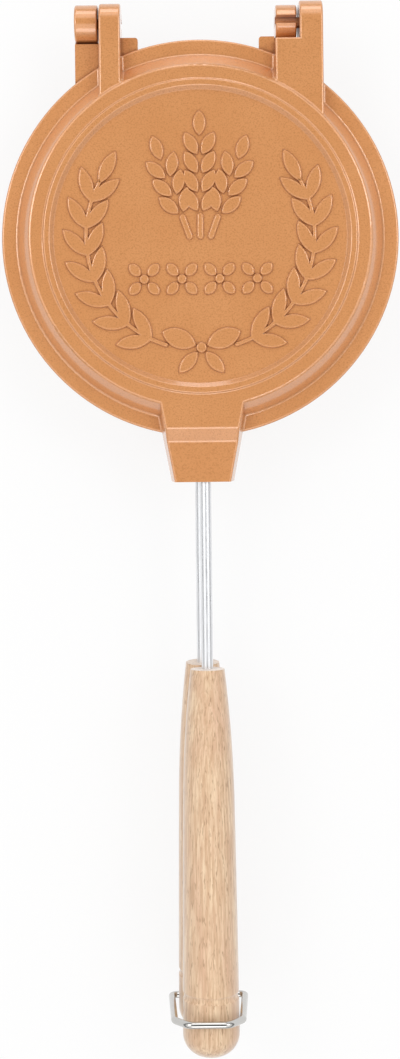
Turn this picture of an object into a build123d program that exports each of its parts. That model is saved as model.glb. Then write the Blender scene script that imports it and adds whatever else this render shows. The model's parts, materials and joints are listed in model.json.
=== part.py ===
from build123d import *
import math
import os

# Hand-held sandwich iron: two round cast plates on a lift-off hinge, a steel rod and a turned
# wooden grip on each plate, and a wire latch that holds the grips together.
# Lengths are millimetres. Up is +Z, the hinge lies towards +Y and the grips reach towards -Y.
# Each half is drawn in its own frame: its origin is the middle of the plate on the mating plane
# and its Z points outwards, so the lower half is the upper one turned half a turn about Y.

# Plate casting, from the flange's edge inwards
plate_radius = 70.3
flange_thickness = 4.0
flange_width = 5.6
wall_run = 4.6
ring_width = 4.8
ring_height = 11.0
bead_width = 1.9
bead_rise = 0.5
bead_height = 11.5
step_run = 1.5
floor_height = 10.3
wall = 3.0
seam = 0.1
foot_fillet = 1.0
ring_fillet = 1.2
step_fillet = 0.5
rim_fillet = 0.8
bead_fillet = 0.6
floor_fillet = 0.2
cavity_fillet = 1.5

# Hinge ears: the hook is the narrow one, and the other one carries the pin
hinge_reach = 6.4
ear_root_depth = 30.3
hook_inner_x = 27.4
hook_width = 7.5
hook_height = 10.5
hook_radius = 6.2
hook_mouth = 2.9
ear_gap = 0.7
ear_width = 8.2
ear_height = 10.5
ear_radius = 6.8
ear_edge = 0.7
notch_gap = 0.6
side_gap = 0.4
tab_inner_x = 21.5
tab_thickness = 2.2
tab_gap = 5.3
tab_corner = 1.0

# Hinge pin
hinge_pin_diameter = 4.0
hinge_pin_flats = 2.7
hinge_pin_seat = 6.5
hinge_pin_setback = 0.3
hinge_play = 0.05

# Neck that holds the rod
neck_root_depth = 18.3
neck_root_half_width = 17.6
neck_length = 15.9
neck_end_half_width = 11.1
neck_draft = 1.7
neck_height = 8.3
neck_step_depth = 3.2
neck_slope_run = 4.9
neck_edge = 0.8
neck_bend = 1.5

# Rod and its cross pin
rod_diameter = 4.0
rod_offset = 0.85
rod_height = 4.8
rod_tilt = 2.35
rod_in_neck = 17.0
rod_between = 65.8
rod_in_grip = 104.0
rod_chamfer = 0.4
cross_pin_diameter = 2.0
cross_pin_from_end = 8.0
cross_pin_start = 0.4
cross_pin_top = 7.0

# Grip
grip_length = 133.4
grip_top_radius = 6.0
grip_shoulder = 16.0
grip_shoulder_radius = 7.6
grip_waist = 44.0
grip_waist_radius = 9.0
grip_swell = 86.0
grip_swell_radius = 9.55
grip_full_radius = 9.9
grip_end_corner = 7.6
grip_bore_spare = 1.0
groove_from_end = 20.8
groove_depth = 0.55
groove_radius = 2.2

# Latch
wire_diameter = 2.4
latch_play = 0.05
latch_from_end = 11.5
latch_reach = 36.8
latch_lean = 4.6
latch_leg_x = 13.3
latch_shoulder_x = 11.8
latch_shoulder_reach = 31.0
latch_bar_x = 6.9
latch_pivot_bend = 1.9
latch_bend = 3.2
latch_in_grip = 5.5
latch_hole_spare = 0.5

# Relief on the floor of each plate, outside and in the cavity
relief_height = 0.6
laurel_margin = 11.4
laurel_stations = 7
laurel_first = -64.0
laurel_last = 18.0
laurel_foot_turn = 8.0
laurel_tip_turn = 10.0
laurel_stem = 1.1
laurel_length = 12.5
laurel_width = 4.6
laurel_spread = 34.0
bow_lift = 1.0
bow_knot = 1.7
bow_start = 2.2
bow_loop = 12.5
bow_loop_width = 6.6
bow_loop_lift = 22.0
bow_tail = 9.5
bow_tail_width = 4.2
bow_tail_lift = -48.0
wheat_foot_y = -1.0
wheat_foot_step = 3.4
wheat_lean = 20.0
wheat_stalk = 9.0
stalk_width = 1.9
grain_length = 8.6
grain_width = 4.2
grain_pitch = 6.6
grain_spread = 30.0
grain_gap = 0.9
rosette_count = 4
rosette_pitch = 13.2
rosette_y = -15.0
rosette_eye = 1.5
petal_count = 4
petal_start = 2.0
petal_length = 5.2
petal_width = 3.4

# Places that follow from the sizes
wall_foot_radius = plate_radius - flange_width
ring_outer_radius = wall_foot_radius - wall_run
ring_inner_radius = ring_outer_radius - ring_width
bead_inner_radius = ring_inner_radius - bead_rise - bead_width
floor_radius = bead_inner_radius - step_run
hinge_y = plate_radius + hinge_reach
ear_root_y = plate_radius - ear_root_depth
neck_root_y = neck_root_depth - plate_radius
neck_end_y = -plate_radius - neck_length
neck_step_y = neck_step_depth - plate_radius
neck_slope_y = neck_step_y - neck_slope_run
laurel_radius = floor_radius - laurel_margin
bow_y = bow_lift - laurel_radius
tilt = math.radians(rod_tilt)
ear_inner_x = hook_inner_x + hook_width + ear_gap
ear_outer_x = ear_inner_x + ear_width
base_inner_x = hook_inner_x - side_gap
notch_y = hinge_y - ear_radius - notch_gap
tab_reach = hinge_y - tab_gap
grip_top_y = neck_end_y - rod_between * math.cos(tilt)
grip_top_z = rod_height + rod_between * math.sin(tilt)
corner_along = grip_length - grip_end_corner
corner_out = grip_full_radius - grip_end_corner
grip_lowest = grip_top_z + corner_along * math.sin(tilt) + corner_out * math.cos(tilt) + grip_end_corner
grip_farthest = grip_top_y - corner_along * math.cos(tilt) - corner_out * math.sin(tilt) - grip_end_corner
mate_z = grip_lowest
plate_y = -(hinge_y + ear_radius + grip_farthest) / 2

# Frames of the two halves
upper = Plane((0, plate_y, mate_z))
lower = Plane((0, plate_y, mate_z), x_dir=(-1, 0, 0), z_dir=(0, 0, -1))


def side_plane(half, x=0.0):
    """Plane square to X at x, on which a sketch reads as (y, outward height)."""
    return Plane(half.from_local_coords(Vector(x, 0, 0)), x_dir=half.y_dir, z_dir=half.x_dir)


def rod_plane(half, along=0.0):
    """Plane across the rod, a distance along it from the grip's top towards the grip's end."""
    run = half.z_dir * math.sin(tilt) - half.y_dir * math.cos(tilt)
    top = half.from_local_coords(Vector(rod_offset, grip_top_y, grip_top_z))
    return Plane(top + run * along, x_dir=half.x_dir, z_dir=run)


def rod_side_plane(half):
    """Plane through the rod's axis, on which a sketch reads as (distance out, distance along)."""
    rod = rod_plane(half)
    return Plane(rod.origin, x_dir=rod.x_dir, z_dir=-rod.y_dir)


def across(half, along, x=0.0):
    """Plane square to X through the rod's height, a distance along the grip and x off the middle."""
    middle = rod_plane(half, along).origin + half.x_dir * (x - rod_offset)
    return Plane(middle, x_dir=half.y_dir, z_dir=half.x_dir)


def heading_vector(turn):
    """Unit vector in a sketch that points along turn, in degrees."""
    return Vector(math.cos(math.radians(turn)), math.sin(math.radians(turn)))


def leaf(root, turn, length, width):
    """A pointed leaf that starts at root and points along turn."""
    along = heading_vector(turn)
    half_width = Vector(-along.Y, along.X) * (width / 2)
    tip = root + along * length
    belly = root + along * (length * 0.45)
    with BuildLine() as outline:
        ThreePointArc(root, belly + half_width, tip)
        ThreePointArc(tip, belly - half_width, root)
    make_face(outline.edges())


def wheat_ear(foot, turn, pairs):
    """A stalk, pairs of grains along its head and one grain at its tip."""
    along = heading_vector(turn)
    head = foot + along * wheat_stalk
    with Locations(Location((foot + head) * 0.5, (0, 0, turn))):
        SlotOverall(wheat_stalk, stalk_width)
    for step in range(pairs):
        node = head + along * (grain_gap + grain_pitch * step)
        for side in (1, -1):
            root = node + heading_vector(turn + side * 90.0) * grain_gap
            leaf(root, turn + side * grain_spread, grain_length, grain_width)
    leaf(head + along * (grain_gap + grain_pitch * pairs), turn, grain_length, grain_width)


def rosette(middle):
    """A small flower of petals round a disc."""
    with Locations(middle):
        Circle(rosette_eye)
    for step in range(petal_count):
        turn = 360.0 / petal_count * (step + 0.5)
        leaf(middle + heading_vector(turn) * petal_start, turn, petal_length, petal_width)


def laurel_leaf(side, turn, spread):
    """One leaf of the wreath, rooted on its branch; side is 1 on the right and -1 on the left."""
    root = heading_vector(turn) * laurel_radius
    heading = 90.0 + side * (turn + spread)
    leaf(Vector(side * root.X, root.Y), heading, laurel_length, laurel_width)


def laurel_branch(side):
    """One branch of the wreath: a stem with pairs of leaves and one leaf at its tip."""
    foot = laurel_first - laurel_foot_turn
    tip = laurel_last + laurel_tip_turn
    start = foot if side > 0 else 180.0 - tip
    with BuildLine() as stem:
        CenterArc((0, 0), laurel_radius, start, tip - foot)
    SlotArc(stem.edges()[0], laurel_stem)
    for step in range(laurel_stations):
        turn = laurel_first + (laurel_last - laurel_first) * step / (laurel_stations - 1)
        laurel_leaf(side, turn, laurel_spread)
        laurel_leaf(side, turn, -laurel_spread)
    laurel_leaf(side, tip, 0.0)


def bow():
    """A tied ribbon at the foot of the wreath."""
    knot = Vector(0, bow_y)
    with Locations(knot):
        Circle(bow_knot)
    for side in (1, -1):
        loop = 90.0 - side * (90.0 - bow_loop_lift)
        tail = 90.0 - side * (90.0 - bow_tail_lift)
        leaf(knot + heading_vector(loop) * bow_start, loop, bow_loop, bow_loop_width)
        leaf(knot + heading_vector(tail) * bow_start, tail, bow_tail, bow_tail_width)


def relief_picture(plane):
    """The raised picture: a wreath, three ears of wheat and a row of rosettes."""
    with BuildSketch(plane) as picture:
        laurel_branch(1)
        laurel_branch(-1)
        bow()
        for place, pairs in ((0, 4), (-1, 3), (1, 3)):
            foot = Vector(-wheat_foot_step * place, wheat_foot_y)
            wheat_ear(foot, 90.0 + wheat_lean * place, pairs)
        for place in range(rosette_count):
            rosette(Vector(rosette_pitch * (place - (rosette_count - 1) / 2), rosette_y))
    return picture.sketch


def round_block(half):
    """The plate's outer form before its corners are rounded and its recess and cavity are cut."""
    with BuildPart() as block:
        with BuildSketch(side_plane(half)):
            with BuildLine():
                rim = FilletPolyline(
                    (0, bead_height),
                    (ring_inner_radius - bead_rise, bead_height),
                    (ring_inner_radius, ring_height),
                    (ring_outer_radius, ring_height),
                    (wall_foot_radius, flange_thickness),
                    (plate_radius, flange_thickness),
                    (plate_radius, seam),
                    (0, seam),
                    radius=[bead_fillet, bead_fillet, ring_fillet, 0, 0, step_fillet],
                )
                Line(rim @ 1, rim @ 0)
            make_face()
        revolve(axis=Axis(half.origin, half.z_dir))
    return block.part


def recess(half):
    """What is cut from the outside, within the raised ring."""
    clear = bead_height + wall
    far = bead_inner_radius + bead_width / 2
    with BuildPart() as cut:
        with BuildSketch(side_plane(half)):
            with BuildLine():
                dip = FilletPolyline(
                    (0, floor_height),
                    (floor_radius, floor_height),
                    (bead_inner_radius, bead_height),
                    (far, bead_height),
                    radius=[floor_fillet, bead_fillet],
                )
                Polyline(dip @ 1, (far, clear), (0, clear), dip @ 0)
            make_face()
        revolve(axis=Axis(half.origin, half.z_dir))
    return cut.part


def cavity(half):
    """What is cut from the mating side: a coin-shaped space that leaves an even wall."""
    draft = (wall_foot_radius - ring_outer_radius) / (ring_height - flange_thickness)
    run_in = wall / math.cos(math.atan(draft)) - draft * wall
    side_radius = ring_outer_radius - run_in
    mouth_radius = side_radius + draft * (ring_height - wall)
    with BuildPart() as cut:
        with BuildSketch(side_plane(half)):
            with BuildLine():
                bowl = FilletPolyline(
                    (0, floor_height - wall),
                    (floor_radius, floor_height - wall),
                    (bead_inner_radius, ring_height - wall),
                    (side_radius, ring_height - wall),
                    (mouth_radius, 0),
                    radius=[step_fillet, step_fillet, cavity_fillet],
                )
                Polyline(bowl @ 1, (mouth_radius, -wall), (0, -wall), bowl @ 0)
            make_face()
        revolve(axis=Axis(half.origin, half.z_dir))
    return cut.part


def hinge_ear(half, x, width, height, radius):
    """One ear: a bar along Y whose end is round about the hinge line."""
    tip = hinge_y + radius
    nose = radius * math.sin(math.radians(45))
    with BuildPart() as bar:
        with BuildSketch(side_plane(half, x)):
            with BuildLine():
                Polyline(
                    (hinge_y, height), (ear_root_y, height), (ear_root_y, 0), (tip, 0), (tip, height - radius)
                )
                ThreePointArc(
                    (tip, height - radius), (hinge_y + nose, height - radius + nose), (hinge_y, height)
                )
            make_face()
        extrude(amount=width)
        ends = bar.faces().filter_by(Axis.X).edges()
        above = [edge for edge in ends if half.to_local_coords(edge.center()).Z > seam]
        free = [edge for edge in above if half.to_local_coords(edge.center()).Y > ear_root_y + seam]
        fillet(free, ear_edge)
    with BuildPart() as knuckle:
        with BuildSketch(side_plane(half, x)):
            with BuildLine():
                ThreePointArc((hinge_y - radius, 0), (hinge_y, -radius), (tip, 0))
                Line((tip, 0), (hinge_y - radius, 0))
            make_face()
        extrude(amount=width)
        ends = knuckle.faces().filter_by(Axis.X).edges()
        fillet(ends.filter_by(GeomType.CIRCLE), ear_edge)
        add(bar.part)
    return knuckle.part


def hinge_base(half):
    """The wide root of the outer ear, which ends where the other half's hook needs room."""
    far_x = ear_inner_x + 2 * ear_edge
    with BuildPart() as base:
        with BuildSketch(half.offset(seam)):
            with Locations(((base_inner_x + far_x) / 2, (ear_root_y + notch_y) / 2)):
                Rectangle(far_x - base_inner_x, notch_y - ear_root_y)
        extrude(amount=ear_height - seam)
        top = base.edges().filter_by(lambda edge: half.to_local_coords(edge.center()).Z > ear_height - seam)
        inner = [edge for edge in top if half.to_local_coords(edge.center()).X < base_inner_x + seam]
        front = [edge for edge in top if half.to_local_coords(edge.center()).Y > notch_y - seam]
        fillet(inner + front, ear_edge)
    return base.part


def hinge_tabs(half):
    """The thin webs on the mating plane beside both ears."""
    with BuildPart() as tabs:
        with BuildSketch(half.offset(seam)):
            for side, end_x in ((1, base_inner_x), (-1, hook_inner_x)):
                with Locations((side * (tab_inner_x + end_x) / 2, (ear_root_y + tab_reach) / 2)):
                    Rectangle(end_x - tab_inner_x, tab_reach - ear_root_y)
                with Locations((side * (base_inner_x + ear_outer_x) / 2, (ear_root_y + notch_y) / 2)):
                    Rectangle(ear_outer_x - base_inner_x, notch_y - ear_root_y)
        extrude(amount=tab_thickness)
        uprights = tabs.edges().filter_by(Axis.Z)
        corners = [edge for edge in uprights if half.to_local_coords(edge.center()).Y > tab_reach - seam]
        fillet([edge for edge in corners if abs(edge.center().X) < tab_inner_x + seam], tab_corner)
    return tabs.part


def neck(half):
    """The tapered, stepped block that holds the rod."""
    with BuildPart() as block:
        for height, inset in ((seam, 0.0), (ring_height, neck_draft)):
            with BuildSketch(half.offset(height)):
                with BuildLine():
                    Polyline(
                        (inset - neck_root_half_width, neck_root_y),
                        (inset - neck_end_half_width, neck_end_y),
                        (neck_end_half_width - inset, neck_end_y),
                        (neck_root_half_width - inset, neck_root_y),
                        close=True,
                    )
                make_face()
        loft(ruled=True)
        with BuildSketch(side_plane(half)):
            with BuildLine():
                step = FilletPolyline(
                    (neck_step_y + neck_bend, ring_height),
                    (neck_step_y, ring_height),
                    (neck_slope_y, neck_height),
                    (neck_end_y - wall, neck_height),
                    radius=neck_bend,
                )
                Polyline(
                    step @ 1,
                    (neck_end_y - wall, ring_height + wall),
                    (neck_step_y + neck_bend, ring_height + wall),
                    step @ 0,
                )
            make_face()
        extrude(amount=neck_root_half_width, both=True, mode=Mode.SUBTRACT)
        middles = [(edge, half.to_local_coords(edge.center())) for edge in block.edges()]
        tops = [(edge, middle) for edge, middle in middles if middle.Z > neck_height - seam]
        fillet([edge for edge, middle in tops if abs(middle.X) > neck_end_half_width / 2], neck_edge)
    return block.part


def rises_from_flange(edge, half):
    """Whether an edge is the foot of the wall, an ear or the neck, or an ear's corner with the wall."""
    ends = [half.to_local_coords(vertex.center()) for vertex in edge.vertices()]
    middle = half.to_local_coords(edge @ 0.5)
    lowest = min(end.Z for end in ends)
    climb = max(end.Z for end in ends) - lowest
    farthest = max(math.hypot(end.X, end.Y) for end in ends)
    foot = climb < seam and math.hypot(middle.X, middle.Y) < plate_radius - seam
    corner = climb > flange_thickness and farthest < wall_foot_radius + foot_fillet and middle.Y > 0
    return abs(lowest - flange_thickness) < seam and (foot or corner)


def is_rim(edge, half):
    """Whether an edge is part of the flange's outer rim."""
    middle = half.to_local_coords(edge @ 0.5)
    at_rim = abs(math.hypot(middle.X, middle.Y) - plate_radius) < seam
    return at_rim and edge.geom_type == GeomType.CIRCLE and abs(middle.Z - flange_thickness) < seam


def outer_form(half):
    """The plate, its ears and its neck in one, with the corners on the flange rounded."""
    with BuildPart() as block:
        add(round_block(half))
        add(hinge_ear(half, ear_inner_x, ear_width, ear_height, ear_radius))
        add(hinge_ear(half, -hook_inner_x - hook_width, hook_width, hook_height, hook_radius))
        add(hinge_base(half))
        add(hinge_tabs(half))
        add(neck(half))
    feet = [edge for edge in block.edges() if rises_from_flange(edge, half)]
    rounded = block.part.fillet(foot_fillet, feet)
    rim = [edge for edge in rounded.edges() if is_rim(edge, half)]
    return rounded.fillet(rim_fillet, rim)


def casting(half):
    """One cast plate with its flange, ring, hinge ears, neck and holes."""
    with BuildPart() as plate:
        add(outer_form(half))
        add(recess(half), mode=Mode.SUBTRACT)
        add(cavity(half), mode=Mode.SUBTRACT)
        extrude(relief_picture(half.offset(floor_height)), amount=relief_height)
        extrude(relief_picture(half.offset(floor_height - wall)), amount=-relief_height)
        # Seat of this half's hinge pin in the outer ear
        with BuildSketch(side_plane(half, ear_inner_x)):
            with Locations((hinge_y, 0)):
                Circle(hinge_pin_diameter / 2)
        extrude(amount=hinge_pin_seat, mode=Mode.SUBTRACT)
        # Bore and mouth of the hook, open towards the other half
        with BuildSketch(side_plane(half, -hook_inner_x - hook_width)):
            with Locations((hinge_y, 0)):
                Circle(hinge_pin_diameter / 2 + hinge_play)
            with Locations((hinge_y, -hook_radius)):
                Rectangle(hook_mouth, hook_radius * 2)
        extrude(amount=hook_width, mode=Mode.SUBTRACT)
        # Bore for the rod and hole for its cross pin
        with BuildSketch(rod_plane(half, -rod_between - rod_in_neck)):
            Circle(rod_diameter / 2)
        extrude(amount=rod_in_neck + wall, mode=Mode.SUBTRACT)
        with BuildSketch(half):
            with Locations((rod_offset, neck_end_y + cross_pin_from_end)):
                Circle(cross_pin_diameter / 2)
        extrude(amount=cross_pin_top, mode=Mode.SUBTRACT)
    return plate


def hinge_pin(half):
    """The pin pressed in the outer ear, with two flats where it runs in the other half's hook."""
    near_x = hook_inner_x + hinge_pin_setback
    with BuildPart() as pin:
        with BuildSketch(side_plane(half, near_x)):
            with Locations((hinge_y, 0)):
                Circle(hinge_pin_diameter / 2)
        extrude(amount=ear_inner_x + hinge_pin_seat - near_x)
        with BuildSketch(side_plane(half, near_x)):
            for side in (1, -1):
                with Locations((hinge_y, side * (hinge_pin_flats + hinge_pin_diameter) / 2)):
                    Rectangle(hinge_pin_diameter, hinge_pin_diameter)
        extrude(amount=ear_inner_x - near_x, mode=Mode.SUBTRACT)
    return pin


def rod(half):
    """The straight rod from inside the neck to inside the grip."""
    with BuildPart() as bar:
        with BuildSketch(rod_plane(half, -rod_between - rod_in_neck)):
            Circle(rod_diameter / 2)
        extrude(amount=rod_in_neck + rod_between + rod_in_grip)
        chamfer(bar.edges().filter_by(GeomType.CIRCLE), rod_chamfer)
        with BuildSketch(half):
            with Locations((rod_offset, neck_end_y + cross_pin_from_end)):
                Circle(cross_pin_diameter / 2)
        extrude(amount=cross_pin_top, mode=Mode.SUBTRACT)
    return bar


def cross_pin(half):
    """The pin that crosses the neck and the rod, put in from the mating side."""
    with BuildPart() as pin:
        with BuildSketch(half.offset(cross_pin_start)):
            with Locations((rod_offset, neck_end_y + cross_pin_from_end)):
                Circle(cross_pin_diameter / 2)
        extrude(amount=cross_pin_top - cross_pin_start)
    return pin


def grip(half, seat_depth):
    """The turned wooden grip with its bore, and a shallow seat for the latch's bar round it."""
    bore = rod_in_grip + grip_bore_spare
    corner = grip_end_corner * math.sin(math.radians(45))
    with BuildPart() as handle:
        with BuildSketch(rod_side_plane(half)):
            with BuildLine():
                ThreePointArc(
                    (grip_top_radius, 0),
                    (grip_shoulder_radius, grip_shoulder),
                    (grip_waist_radius, grip_waist),
                )
                ThreePointArc(
                    (grip_waist_radius, grip_waist),
                    (grip_swell_radius, grip_swell),
                    (grip_full_radius, corner_along),
                )
                ThreePointArc(
                    (grip_full_radius, corner_along),
                    (corner_out + corner, corner_along + corner),
                    (corner_out, grip_length),
                )
                Polyline(
                    (corner_out, grip_length),
                    (0, grip_length),
                    (0, bore),
                    (rod_diameter / 2, bore),
                    (rod_diameter / 2, 0),
                    (grip_top_radius, 0),
                )
            make_face()
            with Locations((grip_full_radius + groove_radius - seat_depth, grip_length - groove_from_end)):
                Circle(groove_radius, mode=Mode.SUBTRACT)
        revolve(axis=Axis(rod_plane(half).origin, rod_plane(half).z_dir))
    return handle


def latch_drilled(handle, half):
    """Drill the two holes for the latch's ends from the sides of a grip."""
    floor_x = grip_full_radius - latch_in_grip - latch_hole_spare
    with BuildPart() as drilled:
        add(handle.part)
        for side in (1, -1):
            with BuildSketch(across(half, grip_length - latch_from_end, side * floor_x)):
                Circle(wire_diameter / 2 + latch_play)
            extrude(amount=side * grip_full_radius, mode=Mode.SUBTRACT)
    return drilled


def latch():
    """The wire loop, pivoted in the lower grip and standing up past the upper one."""
    lean = math.radians(latch_lean)
    pivot = across(lower, grip_length - latch_from_end).origin
    loop = Plane(pivot, x_dir=(1, 0, 0), z_dir=(0, -math.cos(lean), math.sin(lean)))
    end_x = grip_full_radius - latch_in_grip
    with BuildPart() as wire:
        with BuildLine(loop) as path:
            FilletPolyline(
                (-end_x, 0),
                (-latch_leg_x, 0),
                (-latch_shoulder_x, latch_shoulder_reach),
                (-latch_bar_x, latch_reach),
                (latch_bar_x, latch_reach),
                (latch_shoulder_x, latch_shoulder_reach),
                (latch_leg_x, 0),
                (end_x, 0),
                radius=[latch_pivot_bend] + [latch_bend] * 4 + [latch_pivot_bend],
            )
        with BuildSketch(Plane(path.line @ 0, z_dir=path.line % 0)):
            Circle(wire_diameter / 2)
        sweep()
    return wire


os.makedirs("parts", exist_ok=True)

for half, word in ((upper, "upper"), (lower, "lower")):
    plate = casting(half)
    plate.part.label = f"{word}_plate"
    export_step(plate.part, f"parts/{word}_plate.step")

    steel_rod = rod(half)
    steel_rod.part.label = f"{word}_rod"
    export_step(steel_rod.part, f"parts/{word}_rod.step")

    ear_pin = hinge_pin(half)
    ear_pin.part.label = f"{word}_hinge_pin"
    export_step(ear_pin.part, f"parts/{word}_hinge_pin.step")

    neck_pin = cross_pin(half)
    neck_pin.part.label = f"{word}_cross_pin"
    export_step(neck_pin.part, f"parts/{word}_cross_pin.step")

upper_grip = grip(upper, groove_depth)
upper_grip.part.label = "upper_grip"
export_step(upper_grip.part, "parts/upper_grip.step")

lower_grip = latch_drilled(grip(lower, groove_depth), lower)
lower_grip.part.label = "lower_grip"
export_step(lower_grip.part, "parts/lower_grip.step")

latch_wire = latch()
latch_wire.part.label = "latch_wire"
export_step(latch_wire.part, "parts/latch_wire.step")

pivot = across(lower, grip_length - latch_from_end).origin
print("plate middle", 0, plate_y, mate_z)
print("hinge line at y, z", plate_y + hinge_y, mate_z)
print("latch pivot at y, z", pivot.Y, pivot.Z)
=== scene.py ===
import json
import math

import bpy
from mathutils import Euler, Matrix, Vector

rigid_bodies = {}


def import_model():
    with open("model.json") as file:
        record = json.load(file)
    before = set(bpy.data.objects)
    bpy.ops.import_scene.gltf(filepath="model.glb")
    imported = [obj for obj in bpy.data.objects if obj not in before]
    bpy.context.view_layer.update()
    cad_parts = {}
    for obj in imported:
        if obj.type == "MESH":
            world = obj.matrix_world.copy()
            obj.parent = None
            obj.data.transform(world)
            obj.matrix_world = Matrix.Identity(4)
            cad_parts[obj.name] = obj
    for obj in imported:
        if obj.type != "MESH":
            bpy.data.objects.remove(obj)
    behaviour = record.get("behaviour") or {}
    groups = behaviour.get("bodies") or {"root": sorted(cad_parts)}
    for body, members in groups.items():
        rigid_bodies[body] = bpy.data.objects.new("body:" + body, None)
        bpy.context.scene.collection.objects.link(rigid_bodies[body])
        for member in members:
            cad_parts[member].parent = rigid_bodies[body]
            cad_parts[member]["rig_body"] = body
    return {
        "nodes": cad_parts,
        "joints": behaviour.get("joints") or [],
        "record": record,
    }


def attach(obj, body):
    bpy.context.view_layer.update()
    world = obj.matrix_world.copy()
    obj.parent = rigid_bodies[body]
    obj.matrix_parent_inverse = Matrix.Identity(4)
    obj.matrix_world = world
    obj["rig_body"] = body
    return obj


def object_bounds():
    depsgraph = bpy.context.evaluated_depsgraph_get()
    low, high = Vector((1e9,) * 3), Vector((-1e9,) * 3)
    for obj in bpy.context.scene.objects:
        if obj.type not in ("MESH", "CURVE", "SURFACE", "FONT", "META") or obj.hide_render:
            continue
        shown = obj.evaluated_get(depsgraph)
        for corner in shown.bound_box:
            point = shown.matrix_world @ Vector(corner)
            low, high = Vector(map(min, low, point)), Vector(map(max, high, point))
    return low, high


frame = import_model()
cadLow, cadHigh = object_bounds()
nodes = frame["nodes"]
joints = {joint["name"]: joint for joint in frame["joints"]}
mounts = {mount["name"]: mount for mount in frame["record"]["mounts"]}
scene = bpy.context.scene
scene.view_settings.view_transform = "Standard"
hingeLine = Vector(joints["plate_hinge"]["pos_m"])
plateMiddle = Vector((0.0, mounts["upper_ring"]["pos_m"][1], hingeLine.z))
print("frame loaded:", len(nodes), "nodes")


# Small helpers for shader trees

def startMaterial(name):
    material = bpy.data.materials.new(name)
    material.use_nodes = True
    tree = material.node_tree
    tree.nodes.clear()
    output = tree.nodes.new("ShaderNodeOutputMaterial")
    shader = tree.nodes.new("ShaderNodeBsdfPrincipled")
    tree.links.new(shader.outputs["BSDF"], output.inputs["Surface"])
    return material, tree, shader


def addNode(tree, kind, values=None, **settings):
    node = tree.nodes.new(kind)
    for key, value in settings.items():
        setattr(node, key, value)
    for key, value in (values or {}).items():
        node.inputs[key].default_value = value
    return node


def calculate(tree, operation, first, second):
    # one sum; first and second are numbers or sockets
    node = addNode(tree, "ShaderNodeMath", operation=operation)
    for socket, value in zip(node.inputs, (first, second)):
        if isinstance(value, bpy.types.NodeSocket):
            tree.links.new(value, socket)
        else:
            socket.default_value = value
    return node.outputs[0]


def mixColor(tree, mask, first, second):
    # first and second are colours or sockets; mask is a socket
    node = addNode(tree, "ShaderNodeMix", data_type="RGBA")
    tree.links.new(mask, node.inputs["Factor"])
    for socket, value in ((node.inputs[6], first), (node.inputs[7], second)):
        if isinstance(value, bpy.types.NodeSocket):
            tree.links.new(value, socket)
        else:
            socket.default_value = (*value, 1.0)
    return node.outputs[2]


def rampMask(tree, value, low, high, start=0.0, end=1.0):
    # start below low, end above high
    node = addNode(tree, "ShaderNodeMapRange", {"From Min": low, "From Max": high})
    node.inputs["To Min"].default_value = start
    node.inputs["To Max"].default_value = end
    tree.links.new(value, node.inputs["Value"])
    return node.outputs["Result"]


def bumpFrom(tree, height, strength, distance):
    bump = addNode(tree, "ShaderNodeBump", {"Strength": strength, "Distance": distance})
    tree.links.new(height, bump.inputs["Height"])
    return bump.outputs["Normal"]


def makeGrainGroup():
    # Fine cast or polished grain, and broad soft patches
    group = bpy.data.node_groups.new("fineGrain", "ShaderNodeTree")
    for name, value in (("Grain Scale", 1500.0), ("Patch Scale", 60.0)):
        socket = group.interface.new_socket(name, in_out="INPUT", socket_type="NodeSocketFloat")
        socket.default_value = value
    for name in ("Grain", "Patches"):
        group.interface.new_socket(name, in_out="OUTPUT", socket_type="NodeSocketFloat")
    inside = addNode(group, "NodeGroupInput")
    outside = addNode(group, "NodeGroupOutput")
    place = addNode(group, "ShaderNodeTexCoord")
    grain = addNode(group, "ShaderNodeTexNoise", {"Detail": 3.0, "Roughness": 0.7})
    patches = addNode(group, "ShaderNodeTexNoise", {"Detail": 4.0, "Roughness": 0.6})
    for noise, scale in ((grain, "Grain Scale"), (patches, "Patch Scale")):
        group.links.new(place.outputs["Object"], noise.inputs["Vector"])
        group.links.new(inside.outputs[scale], noise.inputs["Scale"])
    group.links.new(grain.outputs["Fac"], outside.inputs["Grain"])
    group.links.new(patches.outputs["Fac"], outside.inputs["Patches"])
    return group


fineGrain = makeGrainGroup()


def useGrain(tree, scale, patchScale):
    node = addNode(tree, "ShaderNodeGroup", node_tree=fineGrain)
    node.inputs["Grain Scale"].default_value = scale
    node.inputs["Patch Scale"].default_value = patchScale
    return node


# Copper-coloured coating on the castings, with painted shade in its corners and creases

coatingLook = {
    "base": (0.715, 0.305, 0.100),
    "light": (0.750, 0.332, 0.117),
    "dark": (0.590, 0.236, 0.070),
    # painted shade: the colour that corners and creases darken towards, how far the occlusion looks,
    # and its samples
    "paintedShade": (0.33, 0.105, 0.030),
    "paintedShadeReach": 0.0016,
    "paintedShadeSamples": 6,
    "metallic": 0.30,
    "roughness": (0.34, 0.46),
    "grainScale": 1700.0,
    "patchScale": 40.0,
    # where each mask begins and is full, on a scale from 0 to 1
    "patchMask": (0.35, 0.65),
    "grainMask": (0.32, 0.52),
    "roughMask": (0.3, 0.7),
    "paintedShadeMask": (0.42, 0.90),
    "coatFade": (0.30, 0.62),
    "bump": 0.16,
    "bumpDepth": 0.00006,
    "coatRoughness": 0.10,
    "coatIndex": 1.85,
}


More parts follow.
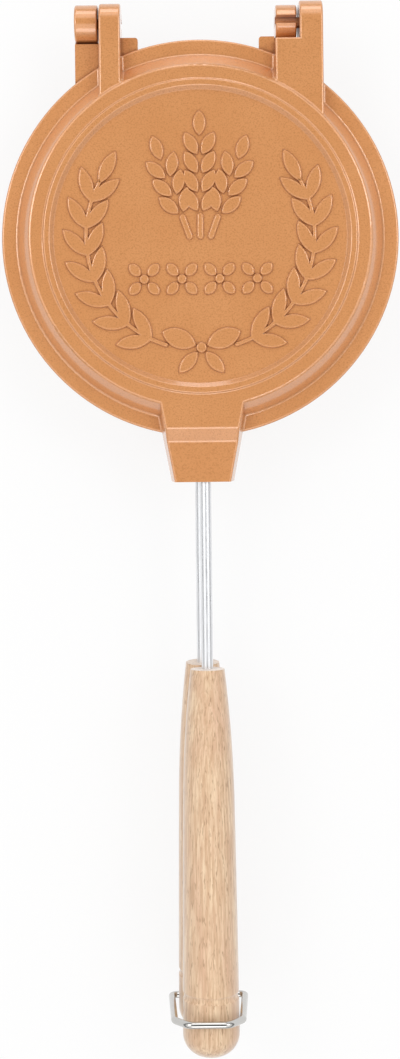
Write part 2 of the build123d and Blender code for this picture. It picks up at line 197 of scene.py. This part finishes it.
def makeCoating():
    look = coatingLook
    material, tree, shader = startMaterial("copperCoating")
    grain = useGrain(tree, look["grainScale"], look["patchScale"])
    patchMask = rampMask(tree, grain.outputs["Patches"], *look["patchMask"])
    color = mixColor(tree, patchMask, look["base"], look["light"])
    grainMask = rampMask(tree, grain.outputs["Grain"], *look["grainMask"])
    color = mixColor(tree, grainMask, look["dark"], color)
    # Painted shade: an ambient occlusion mask darkens the colour in corners, creases and at the foot
    # of the raised picture, where shade falls; the same mask also thins the clear coat there
    cornerOcclusion = addNode(tree, "ShaderNodeAmbientOcclusion", samples=look["paintedShadeSamples"])
    cornerOcclusion.inputs["Distance"].default_value = look["paintedShadeReach"]
    paintedShadeMask = rampMask(tree, cornerOcclusion.outputs["AO"], *look["paintedShadeMask"])
    color = mixColor(tree, paintedShadeMask, look["paintedShade"], color)
    tree.links.new(color, shader.inputs["Base Color"])
    rough = rampMask(tree, grain.outputs["Grain"], *look["roughMask"], *look["roughness"])
    tree.links.new(rough, shader.inputs["Roughness"])
    normal = bumpFrom(tree, grain.outputs["Grain"], look["bump"], look["bumpDepth"])
    tree.links.new(normal, shader.inputs["Normal"])
    shader.inputs["Metallic"].default_value = look["metallic"]
    coatMask = rampMask(tree, cornerOcclusion.outputs["AO"], *look["coatFade"])
    tree.links.new(coatMask, shader.inputs["Coat Weight"])
    shader.inputs["Coat Roughness"].default_value = look["coatRoughness"]
    shader.inputs["Coat IOR"].default_value = look["coatIndex"]
    return material


# Turned beech of the grips

beechLook = {
    "pale": (0.83, 0.62, 0.41),
    "warm": (0.67, 0.435, 0.265),
    "pink": (0.70, 0.43, 0.285),
    "ring": (0.58, 0.36, 0.21),
    "fleck": (0.44, 0.255, 0.14),
    "heart": (0.011, 0.0, -0.041),   # the growth rings lie round this line along Y
    "ringPitch": 0.0021,
    "warpScale": 26.0,
    "warp": 0.0024,
    "streakScale": 1150.0,
    "lineScale": 1700.0,
    "patchScale": 85.0,
    "fleckScale": 1500.0,
    "stretch": 0.05,
    "lineStretch": 0.03,
    "patchStretch": 0.22,
    "fleckStretch": 0.16,
    # where each mask begins and is full, and for some its strength at both ends
    "streakMask": (0.40, 0.60),
    "patchMask": (0.48, 0.70, 0.0, 0.7),
    "ringMask": (0.50, 1.0, 0.0, 0.35),
    "lineMask": (0.50, 0.64, 0.0, 0.85),
    "fleckMask": (0.57, 0.69, 0.0, 0.85),
    "roughness": 0.50,
    "sheen": 1.0,
    "sheenRoughness": 0.45,
    "bump": 0.22,
    "bumpDepth": 0.00012,
}


def stretchedNoise(tree, place, scale, stretch, detail):
    # Noise drawn out along the grain, which runs along Y
    mapping = addNode(tree, "ShaderNodeMapping", {"Scale": (1.0, stretch, 1.0)})
    values = {"Scale": scale, "Detail": detail, "Roughness": 0.6}
    noise = addNode(tree, "ShaderNodeTexNoise", values)
    tree.links.new(place, mapping.inputs["Vector"])
    tree.links.new(mapping.outputs["Vector"], noise.inputs["Vector"])
    return noise.outputs["Fac"]


def growthRings(tree, place, look):
    # 0 to 1 across each ring, from the distance to the heart of the tree
    shifted = addNode(tree, "ShaderNodeVectorMath", operation="SUBTRACT")
    tree.links.new(place, shifted.inputs[0])
    shifted.inputs[1].default_value = look["heart"]
    flat = addNode(tree, "ShaderNodeVectorMath", {1: (1.0, 0.0, 1.0)}, operation="MULTIPLY")
    tree.links.new(shifted.outputs[0], flat.inputs[0])
    length = addNode(tree, "ShaderNodeVectorMath", operation="LENGTH")
    tree.links.new(flat.outputs[0], length.inputs[0])
    warp = stretchedNoise(tree, place, look["warpScale"], look["patchStretch"], 2.0)
    bent = calculate(tree, "MULTIPLY_ADD", warp, look["warp"])
    tree.links.new(length.outputs["Value"], bent.node.inputs[2])
    return calculate(tree, "FRACT", calculate(tree, "DIVIDE", bent, look["ringPitch"]), 0.0)


def makeBeech():
    look = beechLook
    material, tree, shader = startMaterial("beechWood")
    place = addNode(tree, "ShaderNodeTexCoord").outputs["Object"]
    patches = stretchedNoise(tree, place, look["patchScale"], look["patchStretch"], 3.0)
    streaks = stretchedNoise(tree, place, look["streakScale"], look["stretch"], 4.0)
    lines = stretchedNoise(tree, place, look["lineScale"], look["lineStretch"], 3.0)
    flecks = stretchedNoise(tree, place, look["fleckScale"], look["fleckStretch"], 2.0)
    rings = growthRings(tree, place, look)
    color = mixColor(tree, rampMask(tree, streaks, *look["streakMask"]), look["pale"], look["warm"])
    color = mixColor(tree, rampMask(tree, patches, *look["patchMask"]), color, look["pink"])
    color = mixColor(tree, rampMask(tree, rings, *look["ringMask"]), color, look["ring"])
    color = mixColor(tree, rampMask(tree, lines, *look["lineMask"]), color, look["ring"])
    color = mixColor(tree, rampMask(tree, flecks, *look["fleckMask"]), color, look["fleck"])
    tree.links.new(color, shader.inputs["Base Color"])
    shader.inputs["Roughness"].default_value = look["roughness"]
    shader.inputs["Sheen Weight"].default_value = look["sheen"]
    shader.inputs["Sheen Roughness"].default_value = look["sheenRoughness"]
    tree.links.new(bumpFrom(tree, flecks, look["bump"], look["bumpDepth"]), shader.inputs["Normal"])
    return material


# Bright plated rods and wire, and the plain steel of the pins

metalLooks = {
    "rodChrome": {"color": (0.88, 0.89, 0.91), "roughness": 0.34, "scale": 900.0, "bump": 0.03},
    "wireChrome": {"color": (0.62, 0.61, 0.59), "roughness": 0.10, "scale": 1100.0, "bump": 0.04},
    "pinSteel": {"color": (0.58, 0.56, 0.54), "roughness": 0.34, "scale": 1500.0, "bump": 0.25},
}

metalPatches = {
    "scale": 120.0,
    "mask": (0.3, 0.7),
    "shade": 0.93,           # the darker patches against the metal's own colour
    "spread": (0.7, 1.4),    # least and most roughness against the metal's own
    "bumpDepth": 0.00003,
}


def makeMetal(name):
    look = metalLooks[name]
    material, tree, shader = startMaterial(name)
    grain = useGrain(tree, look["scale"], metalPatches["scale"])
    patchMask = rampMask(tree, grain.outputs["Patches"], *metalPatches["mask"])
    shade = tuple(value * metalPatches["shade"] for value in look["color"])
    color = mixColor(tree, patchMask, look["color"], shade)
    tree.links.new(color, shader.inputs["Base Color"])
    span = [look["roughness"] * share for share in metalPatches["spread"]]
    rough = rampMask(tree, grain.outputs["Patches"], *metalPatches["mask"], *span)
    tree.links.new(rough, shader.inputs["Roughness"])
    normal = bumpFrom(tree, grain.outputs["Grain"], look["bump"], metalPatches["bumpDepth"])
    tree.links.new(normal, shader.inputs["Normal"])
    shader.inputs["Metallic"].default_value = 1.0
    return material


finishes = {
    "copper_coating": makeCoating(),
    "beech": makeBeech(),
    "rod_chrome": makeMetal("rodChrome"),
    "wire_chrome": makeMetal("wireChrome"),
    "pin_steel": makeMetal("pinSteel"),
}
for subpart in frame["record"]["subparts"]:
    mesh = nodes[subpart["node"]].data
    mesh.materials.clear()
    mesh.materials.append(finishes[subpart["material_slot"]])


# Soft edges on the raised picture of each plate, outside and in the cavity

reliefLook = {
    "reach": 0.0525,      # the picture lies within this distance of the plate's middle
    "flatness": 0.9999,   # least share of a top face's normal that points straight out
    "levelDigits": 5,     # decimals, in metres, by which faces share a level
    "cornerDigits": 6,    # and by which they share a corner
    # how far outside the picture's edge, and how high against its top
    "slope": (
        (-0.00038, 0.00005),
        (0.0, -0.00005),
        (0.00012, -0.00017),
        (0.00020, -0.00042),
        (0.00034, -0.00075),
    ),
    "miter": 1.8,         # the furthest that a sharp corner is drawn out
    "leastTurn": 0.01,    # below this an outline turns straight back, and the corner stays
}


def pictureTops(mesh, facing):
    # The triangles on top of the picture, as numbers of shared corners, and the corners' places
    levels = {}
    for face in mesh.polygons:
        if face.normal.z * facing < reliefLook["flatness"]:
            continue
        corners = [mesh.vertices[index].co for index in face.vertices]
        away = max(math.hypot(corner.x, corner.y - plateMiddle.y) for corner in corners)
        if away > reliefLook["reach"]:
            continue
        levels.setdefault(round(corners[0].z, reliefLook["levelDigits"]), []).append(corners)
    top = max(levels) if facing > 0 else min(levels)
    numbers, places, faces = {}, [], []
    for corners in levels[top]:
        face = []
        for corner in corners:
            key = tuple(round(value, reliefLook["cornerDigits"]) for value in corner.xy)
            if key not in numbers:
                numbers[key] = len(places)
                places.append(Vector((corner.x, corner.y)))
            face.append(numbers[key])
        faces.append(face if facing > 0 else face[::-1])
    return top, places, faces


def outwardSteps(places, faces):
    # The way out of the picture at each corner of its outline, and the outline's edges
    edges = {}
    for face in faces:
        for edge in zip(face, face[1:] + face[:1]):
            edges[edge] = True
    outline = [edge for edge in edges if edge[::-1] not in edges]
    normals = {}
    for first, second in outline:
        run = (places[second] - places[first]).normalized()
        for corner in (first, second):
            normals.setdefault(corner, []).append(Vector((run.y, -run.x)))
    steps = {}
    for corner, pair in normals.items():
        total = sum(pair, Vector((0.0, 0.0)))
        size = total.length
        stretch = min(2.0 / size, reliefLook["miter"]) if size > reliefLook["leastTurn"] else 0.0
        steps[corner] = total.normalized() * stretch if stretch else Vector((0.0, 0.0))
    return steps, outline


def makeRelief(name, node, body, facing):
    # A thin skin over the picture: its flat top, its sloping sides and a hidden underside
    top, places, faces = pictureTops(nodes[node].data, facing)
    steps, outline = outwardSteps(places, faces)
    count = len(places)
    corners, skin = [], []
    for away, rise in reliefLook["slope"]:
        for index, place in enumerate(places):
            moved = place + steps[index] * away
            corners.append((moved.x, moved.y, top + rise * facing))
    bands = len(reliefLook["slope"]) - 1
    for face in faces:
        skin.append(face)
        skin.append([corner + count * bands for corner in face[::-1]])
    for ring in range(bands):
        base = ring * count
        for first, second in outline:
            skin.append([second + base, first + base, first + base + count, second + base + count])
    if facing < 0:
        skin = [face[::-1] for face in skin]
    mesh = bpy.data.meshes.new(name)
    mesh.from_pydata(corners, [], skin)
    mesh.polygons.foreach_set("use_smooth", [len(face) == 4 for face in skin])
    mesh.materials.append(finishes["copper_coating"])
    piece = bpy.data.objects.new(name, mesh)
    scene.collection.objects.link(piece)
    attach(piece, body)


for half, outward in (("upper", 1), ("lower", -1)):
    makeRelief(f"{half}OuterPicture", f"{half}_plate", half, outward)
    makeRelief(f"{half}InnerPicture", f"{half}_plate", half, -outward)
print("picture edges softened on both plates")


# Camera straight above, as in the photograph

photoSize = (400, 1059)
view = {
    "focalPixels": 1608.0,
    "sideways": -0.00075,
    "towardsGrips": 0.0574,   # how far the camera stands from the plate's middle
    "height": 0.573,          # above the mating plane
    "axisPixel": (200.0, 400.0),
    "roll": -0.62,
    "sensorHeight": 36.0,     # millimetres, as Blender's lens lengths are
    "nearest": 0.01,
    "furthest": 10.0,
}


def makeCamera():
    data = bpy.data.cameras.new("photoCamera")
    camera = bpy.data.objects.new("photoCamera", data)
    scene.collection.objects.link(camera)
    offset = Vector((view["sideways"], -view["towardsGrips"], view["height"]))
    camera.location = plateMiddle + offset
    camera.rotation_euler = Euler((0.0, 0.0, math.radians(view["roll"])))
    data.sensor_fit = "VERTICAL"
    data.sensor_height = view["sensorHeight"]
    data.lens = view["focalPixels"] / photoSize[1] * data.sensor_height
    data.shift_x = (photoSize[0] / 2 - view["axisPixel"][0]) / photoSize[1]
    data.shift_y = -(photoSize[1] / 2 - view["axisPixel"][1]) / photoSize[1]
    data.clip_start = view["nearest"]
    data.clip_end = view["furthest"]
    scene.camera = camera


makeCamera()


# A light tent: bright band all round, dim spot overhead, and four soft lamps over a pale floor

studio = {
    "floorColor": (0.86, 0.86, 0.86),
    "floorSize": 8.0,
    "floorGap": 0.0002,
    "shadow": 0.16,           # how much of the floor's own shading the camera sees
    "brightSide": (-0.20, 0.90, 0.0),
    "sides": (0.92, 1.08),    # brightness away from the bright side, and towards it
    "sideSpan": (-0.8, 0.8),  # how squarely a direction faces the bright side at either level
    "sky": (
        # height of the direction, and brightness
        (0.0, 0.24),
        (0.30, 0.38),
        (0.46, 0.94),
        (0.66, 1.14),
        (0.80, 1.20),
        (0.92, 1.05),
        (1.0, 0.96),
    ),
    # a dim patch overhead: its direction, the cosines where it begins and is full, and its level
    "dimPatch": (0.0, 0.19, 0.982),
    "dimEdge": (0.925, 0.972),
    "dimLevel": 0.08,
    "lamps": (
        # place, size, power
        ((-0.62, 0.34, 0.92), 0.45, 1.6),
        ((0.62, 0.30, 0.92), 0.45, 1.4),
        ((0.0, -0.70, 0.92), 0.5, 1.0),
        ((0.0, 1.1, 0.45), 0.5, 1.1),
    ),
}


def makeWorld():
    world = bpy.data.worlds.new("studioRoom")
    scene.world = world
    world.use_nodes = True
    tree = world.node_tree
    tree.nodes.clear()
    output = tree.nodes.new("ShaderNodeOutputWorld")
    room = addNode(tree, "ShaderNodeBackground")
    white = addNode(tree, "ShaderNodeBackground", {"Color": (1.0, 1.0, 1.0, 1.0), "Strength": 1.0})
    place = addNode(tree, "ShaderNodeTexCoord")
    split = addNode(tree, "ShaderNodeSeparateXYZ")
    tree.links.new(place.outputs["Generated"], split.inputs["Vector"])
    ramp = addNode(tree, "ShaderNodeValToRGB")
    stops = ramp.color_ramp.elements
    while len(stops) < len(studio["sky"]):
        stops.new(0.5)
    for stop, (height, level) in zip(stops, studio["sky"]):
        stop.position = height
    for stop, (height, level) in zip(stops, studio["sky"]):
        stop.color = (level, level, level, 1.0)
    tree.links.new(split.outputs["Z"], ramp.inputs["Fac"])
    tree.links.new(ramp.outputs["Color"], room.inputs["Color"])
    lean = addNode(tree, "ShaderNodeVectorMath", {1: studio["brightSide"]}, operation="DOT_PRODUCT")
    tree.links.new(place.outputs["Generated"], lean.inputs[0])
    side = rampMask(tree, lean.outputs["Value"], *studio["sideSpan"], *studio["sides"])
    patch = addNode(tree, "ShaderNodeVectorMath", {1: studio["dimPatch"]}, operation="DOT_PRODUCT")
    tree.links.new(place.outputs["Generated"], patch.inputs[0])
    dim = rampMask(tree, patch.outputs["Value"], *studio["dimEdge"], 1.0, studio["dimLevel"])
    tree.links.new(calculate(tree, "MULTIPLY", side, dim), room.inputs["Strength"])
    ray = addNode(tree, "ShaderNodeLightPath")
    mix = addNode(tree, "ShaderNodeMixShader")
    tree.links.new(ray.outputs["Is Camera Ray"], mix.inputs["Fac"])
    tree.links.new(room.outputs["Background"], mix.inputs[1])
    tree.links.new(white.outputs["Background"], mix.inputs[2])
    tree.links.new(mix.outputs["Shader"], output.inputs["Surface"])


def makeLamps():
    for index, (place, size, power) in enumerate(studio["lamps"]):
        data = bpy.data.lights.new(f"softbox{index}", "AREA")
        data.shape = "DISK"
        data.size = size
        data.energy = power
        lamp = bpy.data.objects.new(f"softbox{index}", data)
        scene.collection.objects.link(lamp)
        lamp.location = place
        lamp.rotation_euler = (-Vector(place)).to_track_quat("-Z", "Y").to_euler()


def lowestReach():
    # The lowest point of any piece with each joint at either end of its range
    lowest = cadLow.z
    for joint in frame["joints"]:
        pivot = Matrix.Translation(Vector(joint["pos_m"]))
        for angle in joint["range_deg"]:
            turn = Matrix.Rotation(math.radians(angle), 4, Vector(joint["axis"]))
            turn = pivot @ turn @ pivot.inverted()
            for node in nodes.values():
                if node["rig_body"] == joint["child"]:
                    reach = min((turn @ corner.co).z for corner in node.data.vertices)
                    lowest = min(lowest, reach)
    return lowest


def makeFloor():
    # Level, and just below the iron however it is folded
    half = studio["floorSize"] / 2
    height = lowestReach() - studio["floorGap"]
    mesh = bpy.data.meshes.new("floor")
    flat = ((-half, -half), (half, -half), (half, half), (-half, half))
    corners = [(x, y, height) for x, y in flat]
    mesh.from_pydata(corners, [], [(0, 1, 2, 3)])
    floor = bpy.data.objects.new("floor", mesh)
    scene.collection.objects.link(floor)
    material = bpy.data.materials.new("paleFloor")
    material.use_nodes = True
    tree = material.node_tree
    tree.nodes.clear()
    output = tree.nodes.new("ShaderNodeOutputMaterial")
    matt = addNode(tree, "ShaderNodeBsdfDiffuse", {"Color": (*studio["floorColor"], 1.0)})
    glow = addNode(tree, "ShaderNodeEmission", {"Color": (1.0, 1.0, 1.0, 1.0), "Strength": 1.0})
    ray = addNode(tree, "ShaderNodeLightPath")
    seen = calculate(tree, "MAXIMUM", ray.outputs["Is Glossy Ray"], ray.outputs["Is Transmission Ray"])
    seen = calculate(tree, "MAXIMUM", ray.outputs["Is Camera Ray"], seen)
    white = calculate(tree, "MULTIPLY", seen, 1.0 - studio["shadow"])
    mix = addNode(tree, "ShaderNodeMixShader")
    tree.links.new(white, mix.inputs["Fac"])
    tree.links.new(matt.outputs["BSDF"], mix.inputs[1])
    tree.links.new(glow.outputs["Emission"], mix.inputs[2])
    tree.links.new(mix.outputs["Shader"], output.inputs["Surface"])
    mesh.materials.append(material)


makeWorld()
makeLamps()
makeFloor()
print("camera, lamps and floor made")
